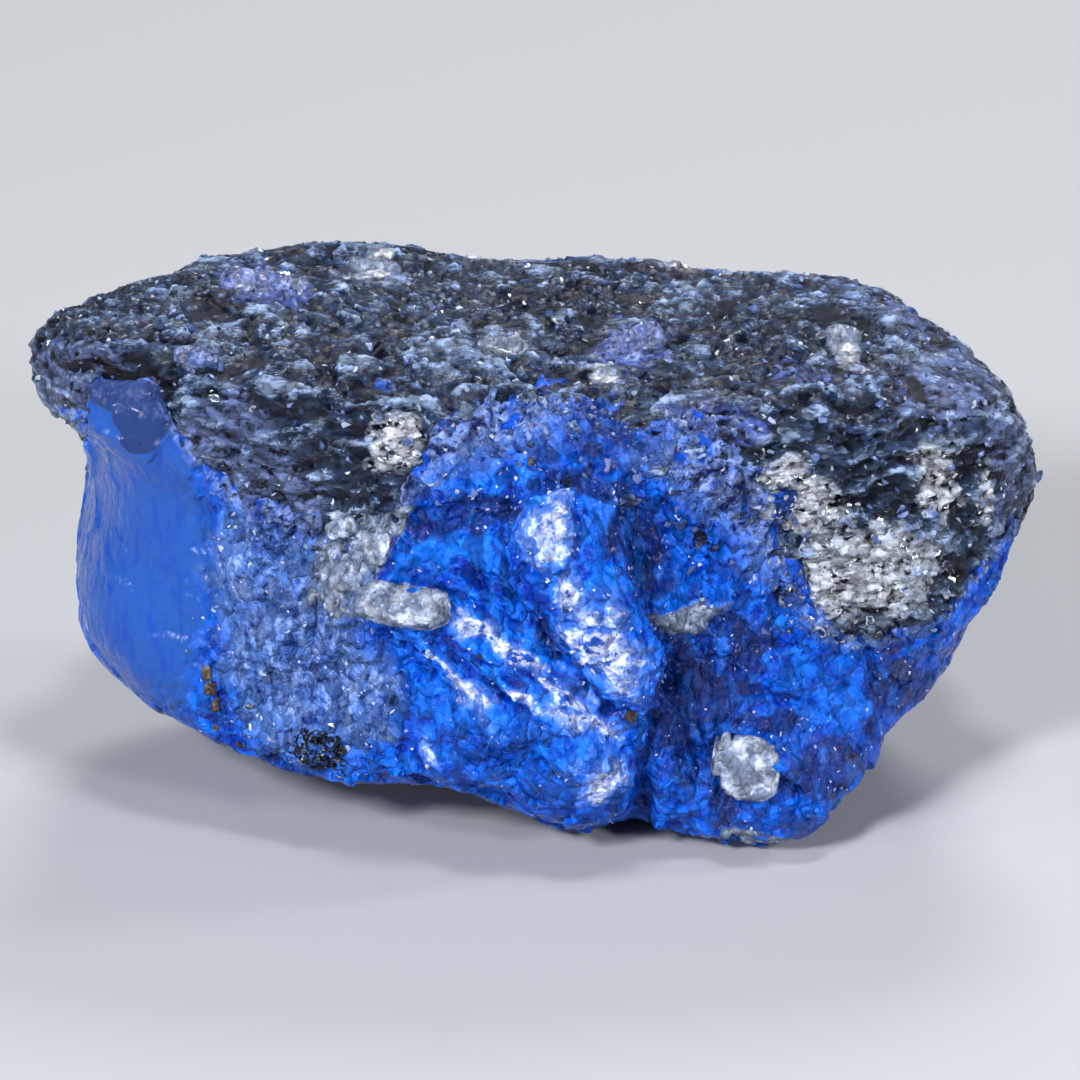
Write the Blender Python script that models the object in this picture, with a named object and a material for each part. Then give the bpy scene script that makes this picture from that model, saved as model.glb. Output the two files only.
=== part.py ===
"""Rough tanzanite: one broken crystal of blue zoisite with its grey graphite matrix still grown over the top.

The stone is a single solid. It is modelled as a fine cube-sphere whose points are pushed out along rays from
the heart of the stone until they meet its surface: the outline seen from the front, the broken faces that cut
it, the step where the matrix overhangs the crystal, and the ridges and hollows of the crystal's broken front.

Row frame: metres, +X along the stone, -Y towards the front, +Z up, origin at the middle of the base.
"""

import math

import bmesh
import bpy
import numpy as np
from mathutils import Vector, noise

MM = 0.001

# Driving dimensions, in millimetres
LENGTH = 12.0
HEART = np.array([-0.2, -0.3, 2.75])  # the point that the surface is measured from
VIEW_TILT = math.radians(23.0)  # the front outline is drawn as seen from this far above the horizon
VIEW_UP = np.array([0.0, math.sin(VIEW_TILT), math.cos(VIEW_TILT)])
VIEW_FORWARD = np.array([0.0, -math.cos(VIEW_TILT), math.sin(VIEW_TILT)])
CUTS_PER_SIDE = 27
MESH_STRETCH = np.array([1.7, 1.05, 1.0])  # spreads the points evenly over a long stone
SHARPNESS = 17.0  # how sharply the broken faces meet

# The front outline before the matrix and the ridges are added, clockwise from the tip of the ledge at the
# left: x along the stone, and height in the view
OUTLINE = (
    (-5.77, 4.34), (-5.73, 4.68), (-5.39, 5.02), (-4.84, 5.33), (-4.56, 5.95), (-3.83, 6.25),
    (-2.61, 6.15), (-1.50, 6.08), (-0.30, 5.89), (1.15, 5.71), (2.52, 5.59), (3.74, 5.60), (4.67, 5.67),
    (5.06, 5.23), (5.01, 4.59), (5.43, 3.95), (5.79, 3.18), (5.47, 2.79), (5.22, 2.50), (5.25, 1.87),
    (5.17, 1.10), (4.85, 0.60), (4.42, 0.29), (4.14, -0.01), (3.94, -0.44), (3.50, -0.98),
    (2.65, -1.20), (1.92, -0.86), (1.18, -0.67), (0.70, -0.78), (0.07, -0.60), (-0.71, -0.35),
    (-1.25, -0.25), (-1.91, -0.22), (-2.61, -0.08), (-3.45, 0.12), (-4.37, 0.51), (-4.97, 0.74),
    (-5.45, 1.20), (-5.52, 1.72), (-5.35, 2.45), (-5.23, 3.22), (-5.16, 3.70), (-5.30, 3.85),
)

STEPS_PER_POINT = 8  # how finely the outline's curve is followed

# Broken faces that cut the stone: outward direction, and distance from the heart
FACES = (
    ((0.05, -0.06, 1.0), 2.88),  # the flat weathered top
    ((-0.14, 0.50, 0.85), 3.95),  # back shoulder of the top
    ((0.0, -0.72, 0.69), 3.72),  # front edge of the top
    ((-0.34, -0.94, 0.00), 3.15),  # left half of the front
    ((0.30, -0.95, 0.04), 3.30),  # right half of the front
    ((0.00, -0.86, -0.50), 3.42),  # lower front, leaning in to the base
    ((-0.84, -0.54, -0.06), 4.72),  # smooth end face at the left
    ((0.74, -0.66, -0.14), 4.72),  # front of the right end
    ((-0.60, 0.05, -0.80), 3.95),  # underside of the left end
    ((0.62, 0.10, -0.78), 4.15),  # underside of the right end
    ((-0.42, 0.90, -0.10), 3.75),  # back, left half
    ((0.36, 0.93, 0.05), 3.60),  # back, right half
    ((0.86, 0.50, 0.10), 4.95),  # back of the right end
    ((-0.84, 0.52, 0.16), 4.85),  # back of the left end
    ((0.10, 0.70, -0.71), 3.25),  # lower back
    ((0.03, 0.02, -1.0), 2.90),  # underside, ground off by the flat spot
)

# The lower edge of the matrix on the front, left to right: x, height in the view, and how far the matrix
# stands proud of the crystal
MATRIX_EDGE = (
    (-6.5, 3.75, 0.30), (-5.2, 3.85, 0.34), (-4.5, 3.45, 0.32), (-3.9, 3.10, 0.26), (-3.2, 2.78, 0.24),
    (-2.2, 2.65, 0.20), (-1.4, 3.20, 0.12), (-0.2, 3.70, 0.03), (1.2, 3.80, 0.02), (2.2, 3.30, 0.05),
    (2.9, 2.20, 0.16), (3.3, 1.55, 0.26), (4.0, 1.30, 0.30), (4.9, 1.72, 0.30), (5.6, 2.45, 0.26),
    (6.5, 3.00, 0.20),
)
MATRIX_STEP_WIDTH = 0.45
MATRIX_BACK_EDGE = 2.9  # its height in the view round the back, where it only wavers
MATRIX_BACK_WAVER = 0.45

RIM_FADE = 1.2  # how far in from the outline the matrix and the rough breaks come up to full height
RIM_ROUGHNESS = 0.25  # the share of the rough breaks that the outline itself keeps
FRONT_FADE = 0.8  # how far in from the outline the ridges of the front do
SWELL_LIFT = 0.18  # broad swells of the broken surface
SWELLS_PER_MM = Vector((0.45, 0.55, 0.70))
CHIP_LIFT = 0.09  # and the smaller ones on them
CHIPS_PER_MM = Vector((1.1, 1.2, 1.5))
CHIP_SHIFT = Vector((7.0, 0.0, 0.0))

# Ridges, lobes and hollows of the front: x, height in the view, length, width, turn in degrees, height
RELIEF = (
    (0.35, 2.35, 1.30, 0.55, -62.0, 0.30),  # the tall pale ridge in the middle
    (1.05, 1.10, 0.80, 0.50, -58.0, 0.22),
    (-0.80, 1.45, 1.20, 0.38, -38.0, 0.20),  # slanting ridges to its left
    (0.10, 0.55, 1.00, 0.36, -36.0, 0.16),
    (-0.30, 2.05, 1.10, 0.32, -40.0, -0.20),  # and the grooves between them
    (0.20, 1.10, 1.20, 0.30, -37.0, -0.17),
    (1.55, 2.35, 0.80, 0.40, -70.0, -0.26),  # dark hollow right of the tall ridge
    (2.05, 0.10, 0.90, 0.32, -80.0, -0.26),  # valley beside the lower lobe
    (2.85, -0.15, 0.75, 0.60, 0.0, 0.26),  # lower lobe at the right
    (0.30, -0.45, 0.80, 0.45, 10.0, 0.16),  # lower lobe in the middle
    (4.10, 2.20, 1.10, 0.80, 20.0, 0.22),  # silvery swelling of the matrix at the right
    (4.95, 3.10, 0.55, 0.75, 0.0, 0.14),
    (-5.10, 1.45, 0.50, 0.80, 0.0, 0.14),  # swelling low on the left end face
    (-4.95, 2.85, 0.40, 0.60, 0.0, -0.12),
    (-1.75, 1.75, 0.45, 0.30, -10.0, 0.16),  # pale grain that stands out under the matrix
    (-2.75, 0.85, 1.10, 0.35, -75.0, 0.10),
    (-3.35, 1.90, 1.40, 0.32, -72.0, -0.10),  # crease between the end face and the front
)


def catmull_rom(points, along):
    """The smooth closed curve through points, at each position in along, counted in points."""
    points = np.array(points)
    count = len(points)
    start = np.floor(along).astype(int)
    t = (along - start)[:, None]
    before, here, after, beyond = (points[(start + k) % count] for k in (-1, 0, 1, 2))
    return 0.5 * (
        2 * here
        + (after - before) * t
        + (2 * before - 5 * here + 4 * after - beyond) * t**2
        + (3 * here - before - 3 * after + beyond) * t**3
    )


def outline_radius(angle):
    """Distance from the heart to the front outline, at each angle in the view."""
    curve = catmull_rom(OUTLINE, np.arange(0, len(OUTLINE), 1 / STEPS_PER_POINT))
    curve -= (HEART[0], HEART @ VIEW_UP)
    angles = np.arctan2(curve[:, 1], curve[:, 0])
    order = np.argsort(angles)
    return np.interp(angle, angles[order], np.hypot(*curve.T)[order], period=2 * math.pi)


def body_radius(rays):
    """Distance from the heart to the body along each ray: the outline carried back, cut by the faces."""
    in_view = np.stack([rays[:, 0], rays @ VIEW_UP], axis=1)
    spread = np.hypot(*in_view.T)
    closeness = (spread / outline_radius(np.arctan2(in_view[:, 1], in_view[:, 0]))) ** SHARPNESS
    for direction, distance in FACES:
        normal = np.array(direction) / np.linalg.norm(direction)
        closeness += (np.maximum(rays @ normal, 0) / distance) ** SHARPNESS
    return closeness ** (-1 / SHARPNESS)


def smooth_step(value):
    value = np.clip(value, 0, 1)
    return value * value * (3 - 2 * value)


def matrix_lift(across, height, facing):
    """How far the matrix stands proud at each point: above its edge on the front, and round the back."""
    x, edge, proud = np.array(MATRIX_EDGE).T
    front_edge, lift = np.interp(across, x, edge), np.interp(across, x, proud)
    back_edge = MATRIX_BACK_EDGE + MATRIX_BACK_WAVER * np.sin(across)
    line = np.where(facing > 0, front_edge, back_edge)
    return lift * smooth_step((height - line) / MATRIX_STEP_WIDTH + 0.5)


def relief_lift(across, height, facing):
    """The ridges and hollows of the front, fading out where the surface turns away from it."""
    total = np.zeros(len(across))
    for x, level, length, width, turn, lift in RELIEF:
        turn = math.radians(turn)
        along = (across - x) * math.cos(turn) + (height - level) * math.sin(turn)
        aside = (height - level) * math.cos(turn) - (across - x) * math.sin(turn)
        total += lift * np.exp(-((along / length) ** 2) - (aside / width) ** 2)
    return total * smooth_step(facing / FRONT_FADE)


def broken_texture(points):
    """Uneven breaks all over: broad swells with smaller ones on them, in millimetres."""
    swells = [noise.noise(Vector(point) * SWELLS_PER_MM) for point in points]
    chips = [noise.noise(Vector(point) * CHIPS_PER_MM + CHIP_SHIFT) for point in points]
    return SWELL_LIFT * np.array(swells) + CHIP_LIFT * np.array(chips)


def surface_points(rays):
    """Where each ray from the heart meets the finished surface."""
    radius = body_radius(rays)
    points = HEART + rays * radius[:, None]
    across, height, facing = points[:, 0], points @ VIEW_UP, (points - HEART) @ VIEW_FORWARD
    off_rim = smooth_step(np.abs(facing) / RIM_FADE)
    lift = matrix_lift(across, height, facing) * off_rim + relief_lift(across, height, facing)
    lift += broken_texture(points) * (RIM_ROUGHNESS + (1 - RIM_ROUGHNESS) * off_rim)
    downward = np.maximum(-rays[:, 2], 1e-6)  # never zero, so that level rays can be divided too
    radius = np.minimum(radius + lift, HEART[2] / downward)  # the flat spot that it rests on
    return HEART + rays * radius[:, None]


def stone_mesh(name):
    """A closed cube-sphere, its points moved out to the stone's surface."""
    mesh = bpy.data.meshes.new(name)
    shell = bmesh.new()
    bmesh.ops.create_cube(shell, size=2.0)
    bmesh.ops.subdivide_edges(shell, edges=shell.edges[:], cuts=CUTS_PER_SIDE, use_grid_fill=True)
    cube = np.array([vertex.co for vertex in shell.verts])
    rays = np.tan(cube * math.pi / 4) * MESH_STRETCH
    rays /= np.linalg.norm(rays, axis=1)[:, None]
    points = surface_points(rays)
    points[:, :2] -= (points[:, :2].max(axis=0) + points[:, :2].min(axis=0)) / 2
    points *= LENGTH / np.ptp(points[:, 0])
    for vertex, point in zip(shell.verts, points, strict=True):
        vertex.co = Vector(point) * MM
    bmesh.ops.triangulate(shell, faces=shell.faces[:])
    shell.to_mesh(mesh)
    shell.free()
    mesh.shade_smooth()
    return mesh


def blue_stone():
    """The stone's plain material: wet-looking, deep blue and a little see-through."""
    material = bpy.data.materials.new("tanzanite")
    material.use_nodes = True
    shader = material.node_tree.nodes["Principled BSDF"]
    shader.inputs["Base Color"].default_value = (0.02, 0.07, 0.55, 1.0)
    shader.inputs["Roughness"].default_value = 0.25
    shader.inputs["Metallic"].default_value = 0.0
    shader.inputs["IOR"].default_value = 1.69
    return material


for leftover in list(bpy.data.objects):
    bpy.data.objects.remove(leftover, do_unlink=True)

collection = bpy.data.collections.new("rough_tanzanite")
bpy.context.scene.collection.children.link(collection)
stone = bpy.data.objects.new("tanzanite_stone", stone_mesh("tanzanite_stone"))
stone.data.materials.append(blue_stone())
collection.objects.link(stone)
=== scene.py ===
import math

import bmesh
import bpy
import numpy as np
from mathutils import Matrix, Vector, noise
from mathutils.bvhtree import BVHTree


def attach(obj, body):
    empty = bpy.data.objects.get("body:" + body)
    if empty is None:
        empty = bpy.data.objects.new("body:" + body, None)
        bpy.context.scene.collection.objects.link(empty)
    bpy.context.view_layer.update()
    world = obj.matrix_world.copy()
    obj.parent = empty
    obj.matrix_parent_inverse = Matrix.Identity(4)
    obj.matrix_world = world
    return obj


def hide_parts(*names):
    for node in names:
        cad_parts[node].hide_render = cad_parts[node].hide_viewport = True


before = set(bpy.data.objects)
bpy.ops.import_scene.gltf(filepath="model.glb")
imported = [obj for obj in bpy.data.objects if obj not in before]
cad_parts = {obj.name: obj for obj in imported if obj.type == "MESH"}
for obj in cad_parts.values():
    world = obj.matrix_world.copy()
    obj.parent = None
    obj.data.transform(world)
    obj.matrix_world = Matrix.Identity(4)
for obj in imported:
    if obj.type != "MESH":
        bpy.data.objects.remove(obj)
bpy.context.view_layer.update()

MM = 0.001
PICTURE_SIDE = 1080  # pixels
PIXELS_PER_MM = 82.9
VIEW_DOWN = math.radians(23.0)
LENS_TO_STONE = 90.0  # millimetres
LOOKED_AT = np.array([0.054, 0.0, 2.9])
SENSOR_WIDTH = 36.0

towards_lens = np.array([0.0, -math.cos(VIEW_DOWN), math.sin(VIEW_DOWN)])
picture_up = np.array([0.0, math.sin(VIEW_DOWN), math.cos(VIEW_DOWN)])
lens_place = LOOKED_AT + towards_lens * LENS_TO_STONE

lens = bpy.data.cameras.new("macro_lens")
lens.sensor_width = SENSOR_WIDTH
lens.lens = SENSOR_WIDTH * LENS_TO_STONE * PIXELS_PER_MM / PICTURE_SIDE
lens.clip_start = 10 * MM
lens.clip_end = 5.0
camera = bpy.data.objects.new("macro_camera", lens)
camera.location = Vector(lens_place) * MM
camera.rotation_euler = (math.radians(90.0) - VIEW_DOWN, 0.0, 0.0)
bpy.context.scene.collection.objects.link(camera)
bpy.context.scene.camera = camera


def in_picture(points):
    """Where the view shows each point: pixels from the left edge and from the top edge."""
    from_lens = points - lens_place
    pixels = PIXELS_PER_MM * LENS_TO_STONE / -(from_lens @ towards_lens)
    x = PICTURE_SIDE / 2 + pixels * from_lens[:, 0]
    y = PICTURE_SIDE / 2 - pixels * (from_lens @ picture_up)
    return x, y


# The broken body. Crystal and matrix grew as one stone, so both start from the same surface: the solid's own,
# remade of even cells with its facets smoothed away. It is worked in millimetres.
COARSE_CELL = 0.13
SMOOTHING_PASSES = 10


def body_cells():
    """The stone's own surface in millimetres, as even four-sided cells."""
    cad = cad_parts["tanzanite_stone"].data.copy()
    cad.transform(Matrix.Scale(1 / MM, 4))
    holder = bpy.data.objects.new("holder", cad)
    bpy.context.scene.collection.objects.link(holder)
    cells = holder.modifiers.new("cells", "REMESH")
    cells.mode = "VOXEL"
    cells.voxel_size = COARSE_CELL
    softened = holder.modifiers.new("softened", "SMOOTH")
    softened.factor = 0.5
    softened.iterations = SMOOTHING_PASSES
    made = holder.evaluated_get(bpy.context.evaluated_depsgraph_get())
    mesh = bpy.data.meshes.new_from_object(made)
    bpy.data.objects.remove(holder)
    bpy.data.meshes.remove(cad)
    return mesh


def numbers(collection, field, width):
    """One field of a mesh's vertices, a row for each."""
    values = np.empty(len(collection) * width, np.float32)
    collection.foreach_get(field, values)
    return values.reshape(-1, width).astype(float)


body = body_cells()
body_points = numbers(body.vertices, "co", 3)
body_normals = numbers(body.vertex_normals, "vector", 3)
body_faces = [tuple(face.vertices) for face in body.polygons]


# Where the matrix ends. It is a cap of rock that grew over the crystal: its lower edge runs down from the
# ledge at the left, climbs over the blue middle, where the two are mixed, and hangs over the right end.

# Each row is a place along the picture, where the pure matrix ends, and where the pure crystal starts
MATRIX_EDGE = [
    (20, 400, 425), (86, 405, 430), (93, 367, 381), (130, 365, 379), (152, 369, 392), (165, 400, 425),
    (185, 438, 462), (219, 474, 500), (250, 490, 530), (285, 498, 550), (320, 505, 565), (360, 503, 555),
    (400, 486, 525), (430, 420, 505), (480, 378, 495), (530, 365, 480), (590, 388, 478), (640, 395, 500),
    (690, 400, 550), (740, 425, 600), (780, 490, 625), (815, 600, 650), (845, 632, 656), (880, 636, 652),
    (915, 618, 640), (950, 600, 625), (985, 550, 580), (1010, 515, 545), (1060, 480, 510),
]
BACK_EDGE_HEIGHT = 3.2  # millimetres above the base, round the back where the picture doesn't reach
BACK_EDGE_WAVER = 0.45
BACK_EDGE_BLUR = 0.5


def smooth_step(value, low, high):
    """0 up to low, 1 from high on, and a smooth rise between them."""
    value = np.clip((value - low) / (high - low), 0, 1)
    return value * value * (3 - 2 * value)


def seen_share(normals):
    """1 where the stone faces the lens, and 0 from its edge on round the back."""
    return smooth_step(normals @ towards_lens, 0.0, 0.3)


def matrix_share(points, normals):
    """How much of the stone is matrix at each place: 0 crystal, 1 matrix, with a mixed belt between them."""
    x, y = in_picture(points)
    edge_x, edge_full, edge_none = np.array(MATRIX_EDGE).T
    full = np.interp(x, edge_x, edge_full)
    none = np.interp(x, edge_x, edge_none)
    front = np.clip((none - y) / (none - full), -1.0, 2.0)
    waver = BACK_EDGE_WAVER * np.sin(points[:, 0] * 1.1 + 0.5) * np.cos(points[:, 1])
    back = np.clip((points[:, 2] - BACK_EDGE_HEIGHT - waver) / BACK_EDGE_BLUR + 0.5, -1.0, 2.0)
    seen = smooth_step(normals @ towards_lens, -0.05, 0.25)
    return seen * front + (1 - seen) * back


# The crystal: one broken crystal of zoisite coloured by vanadium, glassy where it is sound and frosted where
# cleavage veils catch the light. Where it broke across its growth lines it left slanting ribs, a tall ridge
# in the middle, knobbly chips to the right of it and smooth swellings along the bottom.
noise.seed_set(3)  # so that each chip comes out the same every time
ROUGH_FALLOFF = 0.9
ROUGH_STEP = 2.1  # how much finer each octave is than the last
SEED_SHIFT = 31.7  # cells between the places where two seeds start
RIB_TURN = 35.0  # degrees clockwise in the picture
RIB_SPACING = 0.30
RIBBED = [(520, 630, 150, 85, 35)]
SMOOTH_END = [(105, 560, 110, 220, 0)]
CHUNKY_END = [(900, 690, 70, 110, 25)]
SWELLINGS = [(575, 790, 60, 45, 0), (470, 745, 50, 45, 0), (765, 800, 75, 45, 0), (850, 745, 40, 50, 20)]
HOLLOWS = [(690, 640, 30, 120, 12), (655, 545, 26, 60, -10), (470, 525, 60, 20, -15), (642, 800, 14, 40, 5)]
TALL_RIDGE = [(555, 540, 45, 70, -10), (610, 640, 45, 80, -30)]
FURROWS = [
    (9, -0.16, [(392, 524), (440, 510), (500, 508), (535, 490), (570, 478)]),
    (6, -0.11, [(440, 588), (500, 612), (546, 650), (592, 684), (650, 716)]),
    (5, -0.09, [(455, 574), (505, 592), (533, 618), (560, 660)]),
    (5, -0.07, [(425, 640), (470, 672), (520, 712), (560, 738)]),
    (6, -0.07, [(490, 545), (510, 580), (548, 612), (580, 628)]),
    (8, -0.15, [(628, 492), (650, 545), (655, 610), (684, 690), (700, 765)]),
    (7, -0.10, [(655, 735), (642, 780), (642, 820)]),
    (5, -0.06, [(203, 500), (214, 580), (206, 650), (232, 740)]),
    (6, -0.05, [(386, 640), (394, 700), (384, 770)]),
    (6, -0.08, [(700, 700), (760, 690), (800, 700)]),
    (5, -0.08, [(868, 650), (876, 700), (862, 730)]),
    (7, 0.07, [(470, 596), (530, 636), (580, 676), (640, 705)]),
    (7, 0.07, [(430, 618), (480, 652), (540, 694), (600, 716)]),
    (8, 0.08, [(520, 560), (560, 610), (610, 660), (640, 690)]),
    (3, 0.05, [(98, 426), (128, 444), (150, 458), (168, 436), (176, 408)]),
]
# The gap under the ledge is carved, and crystal and matrix both paint it near-black as its shade.
SLOT = [(124, 373, 30, 7, -2), (112, 368, 14, 6, 20)]  # the dark gap under the ledge
SLOT_DEPTH = 0.25
# The smooth facet under the gap
PLATE = [(126, 394, 44, 20, 8), (143, 416, 33, 26, 20), (142, 438, 22, 15, 15)]
# Heights in millimetres
CHIP_HEIGHT = 0.06
BROKEN_HEIGHT = 0.06
KNOB_HEIGHT = 0.045
RIB_HEIGHT = 0.07
SWELLING_HEIGHT = 0.14
HOLLOW_DEPTH = 0.14
RIDGE_HEIGHT = 0.13
PLATE_HEIGHT = 0.03
BELT_HEIGHT = 0.06
UNDER_MATRIX = 0.24  # how far the crystal lies lower where the matrix covers it
FURROW_WANDER = 5  # pixels


def patches(x, y, spots, inner=0.6, outer=1.3):
    """How far inside any of the spots each place in the picture is, 0 to 1.

    A spot is its middle in pixels, its half length and half width, and its turn clockwise in degrees."""
    inside = np.zeros(len(x))
    for middle_x, middle_y, half_long, half_wide, turn in spots:
        turn = math.radians(turn)
        along = (x - middle_x) * math.cos(turn) + (y - middle_y) * math.sin(turn)
        aside = (y - middle_y) * math.cos(turn) - (x - middle_x) * math.sin(turn)
        reach = np.hypot(along / half_long, aside / half_wide)
        inside = np.maximum(inside, 1 - smooth_step(reach, inner, outer))
    return inside


def traced(x, y, lines):
    """The height that a set of drawn lines gives each place in the picture, in millimetres.

    A line is its half width in pixels, its height, below nought for a furrow, and its bends in pixels."""
    height = np.zeros(len(x))
    for half_wide, tall, bends in lines:
        nearest = np.full(len(x), 1e6)
        for (start_x, start_y), (end_x, end_y) in zip(bends, bends[1:]):
            run_x, run_y = end_x - start_x, end_y - start_y
            share = ((x - start_x) * run_x + (y - start_y) * run_y) / (run_x**2 + run_y**2)
            share = np.clip(share, 0, 1)
            nearest = np.minimum(nearest, np.hypot(x - start_x - share * run_x, y - start_y - share * run_y))
        height += tall * np.exp(-((nearest / half_wide) ** 2))
    return height


def rough(points, cells_per_mm, octaves=4, seed=0):
    """Fractal unevenness at each point, about -1 to 1; cells_per_mm is one number, or one for each axis."""
    places = map(Vector, points * np.array(cells_per_mm) + SEED_SHIFT * seed)
    return np.array([noise.fractal(place, ROUGH_FALLOFF, ROUGH_STEP, octaves) for place in places])


def chips(points, cells_per_mm, seed=0):
    """Small flat breaks, each tilted its own way: a height at each point, about -1 to 1."""
    places = map(Vector, points * np.array(cells_per_mm) + SEED_SHIFT * seed)
    heights = np.empty(len(points))
    for index, place in enumerate(places):
        cell = noise.voronoi(place)[1][0]
        heights[index] = (place - cell) @ noise.noise_vector(cell * 9.1) * 3.0
    return heights


def crystal_relief(points, normals, share):
    """How far the crystal's broken surface stands off the smooth body, in millimetres."""
    x, y = in_picture(points)
    seen = seen_share(normals)
    turn = math.radians(RIB_TURN)
    across = (y * math.cos(turn) - x * math.sin(turn)) / PIXELS_PER_MM
    along = (x * math.cos(turn) + y * math.sin(turn)) / PIXELS_PER_MM
    bend = rough(points, 0.7, 2, seed=3)
    rib_place = np.stack([along * 0.45, across / RIB_SPACING + bend, np.zeros(len(points))], axis=1)
    ribs = 1 - 2 * np.abs(rough(rib_place, 1.0, 2, seed=5))
    ribbed = patches(x, y, RIBBED) * seen
    smooth_end = patches(x, y, SMOOTH_END) * seen
    chunky = patches(x, y, CHUNKY_END)
    belt = smooth_step(share, -0.15, 0.25) * smooth_step(share, 1.2, 0.8)
    facing = smooth_step(normals @ towards_lens, 0.0, 0.35)
    broken = chips(points, 1.7, seed=1) * (0.02 + CHIP_HEIGHT * facing)
    broken += rough(points, 1.5, 2, seed=4) * BROKEN_HEIGHT
    knobs = 0.6 * chips(points, 3.8, seed=2) + 0.5 * chips(points, 7.5, seed=17)
    knobs += 0.4 * rough(points, 5.0, 3, seed=18)
    knobs *= (0.1 + 0.9 * facing) * (1 - 0.9 * smooth_end)
    knobs *= 1 - 0.6 * seen * np.maximum(patches(x, y, SWELLINGS), chunky)
    relief = broken * (1 - 0.85 * smooth_end) * (1 - 0.25 * ribbed) + KNOB_HEIGHT * knobs
    relief += RIB_HEIGHT * (ribs - 0.5) * ribbed
    wander = FURROW_WANDER * rough(points, 3.0, 2, seed=16)
    relief += seen * traced(x + wander, y - wander, FURROWS)
    relief += seen * SWELLING_HEIGHT * patches(x, y, SWELLINGS)
    relief -= seen * HOLLOW_DEPTH * patches(x, y, HOLLOWS)
    relief += seen * RIDGE_HEIGHT * patches(x, y, TALL_RIDGE)
    relief += seen * PLATE_HEIGHT * patches(x, y, PLATE, 0.8, 1.1)
    relief -= seen * SLOT_DEPTH * patches(x, y, SLOT, 0.7, 1.1)
    mixed = BELT_HEIGHT * (chips(points, 6.5, seed=11) + 0.5 * rough(points, 9.0, 2, seed=12))
    relief += belt * facing * (1 - 0.7 * chunky) * mixed
    # raised: how high each point stands among its knobs and ribs, about 0 to 1; the crystal's material paints
    # light on the high places and shade in the low ones from it
    raised = 0.5 + 0.5 * knobs + ribbed * (ribs - 0.5)
    return relief - UNDER_MATRIX * smooth_step(share, 0.7, 1.2), raised


def refined(points, normals, depths, faces, wanted, cuts):
    """The surface with cuts across the wanted faces: its points, outward directions, depths and faces."""
    mesh = bpy.data.meshes.new("refined")
    mesh.from_pydata(points, [], faces)
    surface = bmesh.new()
    surface.from_mesh(mesh)
    outward = surface.verts.layers.float_vector.new("outward")
    depth = surface.verts.layers.float.new("depth")
    for vertex, normal, level in zip(surface.verts, normals, depths, strict=True):
        vertex[outward] = normal
        vertex[depth] = level
    pairs = zip(surface.faces, wanted, strict=True)
    chosen = {edge.index for face, want in pairs if want for edge in face.edges}
    edges = [edge for edge in surface.edges if edge.index in chosen]
    bmesh.ops.subdivide_edges(surface, edges=edges, cuts=cuts, use_grid_fill=True)
    points = np.array([vertex.co for vertex in surface.verts])
    normals = np.array([vertex[outward] for vertex in surface.verts])
    normals /= np.linalg.norm(normals, axis=1)[:, None]
    depths = np.array([vertex[depth] for vertex in surface.verts])
    faces = [[vertex.index for vertex in face.verts] for face in surface.faces]
    surface.free()
    bpy.data.meshes.remove(mesh)
    return points, normals, depths, faces


def finish_mesh(name, points, faces, masks, smooth=True):
    """A mesh object in metres with its masks kept for the materials."""
    mesh = bpy.data.meshes.new(name)
    mesh.from_pydata(points * MM, [], faces)
    surface = bmesh.new()
    surface.from_mesh(mesh)
    bmesh.ops.triangulate(surface, faces=surface.faces[:])
    surface.to_mesh(mesh)
    surface.free()
    for label, values in masks.items():
        mesh.attributes.new(label, "FLOAT", "POINT").data.foreach_set("value", values.astype(np.float32))
    if smooth:
        mesh.shade_smooth()
    made = bpy.data.objects.new(name, mesh)
    bpy.context.scene.collection.objects.link(made)
    return made


body_share = matrix_share(body_points, body_normals)
face_share = np.array([body_share[list(face)].mean() for face in body_faces])
face_facing = np.array([(body_normals[list(face)] @ towards_lens).mean() for face in body_faces])

CRYSTAL_CUTS = 3  # across each cell that the view shows and the matrix doesn't cover
wanted = (face_share < 0.95) & (face_facing > 0.02)
no_depths = np.zeros(len(body_points))
crystal_points, crystal_normals, _, crystal_faces = refined(
    body_points, body_normals, no_depths, body_faces, wanted, CRYSTAL_CUTS
)
share = matrix_share(crystal_points, crystal_normals)
smooth_points = crystal_points.copy()
lift, raised = crystal_relief(crystal_points, crystal_normals, share)
crystal_points += crystal_normals * lift[:, None]
crystal_points[:, 2] = np.maximum(crystal_points[:, 2], 0)

# Where the picture shows each look: spots like those above
# The frosted cleavage veils. Their whitest cores, above all on the tall ridge, are partly the frost's own
# colour and partly painted highlight.
FROSTED = [
    (548, 532, 34, 42, 0), (605, 640, 72, 36, 55), (570, 590, 30, 26, 40), (535, 668, 105, 15, 34),
    (465, 682, 62, 10, 45), (590, 725, 50, 26, 15), (431, 748, 26, 12, 60), (480, 625, 42, 18, 30),
    (690, 615, 36, 10, -20), (600, 770, 34, 22, 0), (520, 705, 60, 10, 30),
]
MILKY = [(120, 560, 100, 210, 0), (160, 440, 60, 40, 0)]
HAZY = [(290, 640, 85, 150, -12), (360, 700, 50, 60, 0), (250, 560, 50, 70, 0)]
ICY = [
    (352, 545, 44, 58, 0), (398, 515, 26, 16, -20), (330, 600, 22, 20, 0), (745, 826, 28, 10, -8),
    (695, 620, 34, 12, -20), (770, 826, 30, 8, 10),
]
# The deep blue: partly the crystal's own navy, partly painted shade in the crack beside the tall ridge and in
# the hollow under the arch
DEEP = [
    (700, 690, 50, 90, 10), (645, 545, 34, 60, -15), (470, 522, 70, 20, -12), (895, 680, 38, 34, 0),
    (820, 770, 34, 40, 20), (770, 720, 50, 14, 0), (722, 640, 60, 30, 0), (600, 700, 50, 8, 34),
    (560, 640, 14, 40, -35), (720, 780, 22, 50, 0), (590, 480, 60, 16, 10), (612, 432, 66, 34, 5),
]
LOOK_WANDER = 16  # pixels, so that no look has an even outline
CLEARNESS = 0.30  # of the deepest blue


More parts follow.
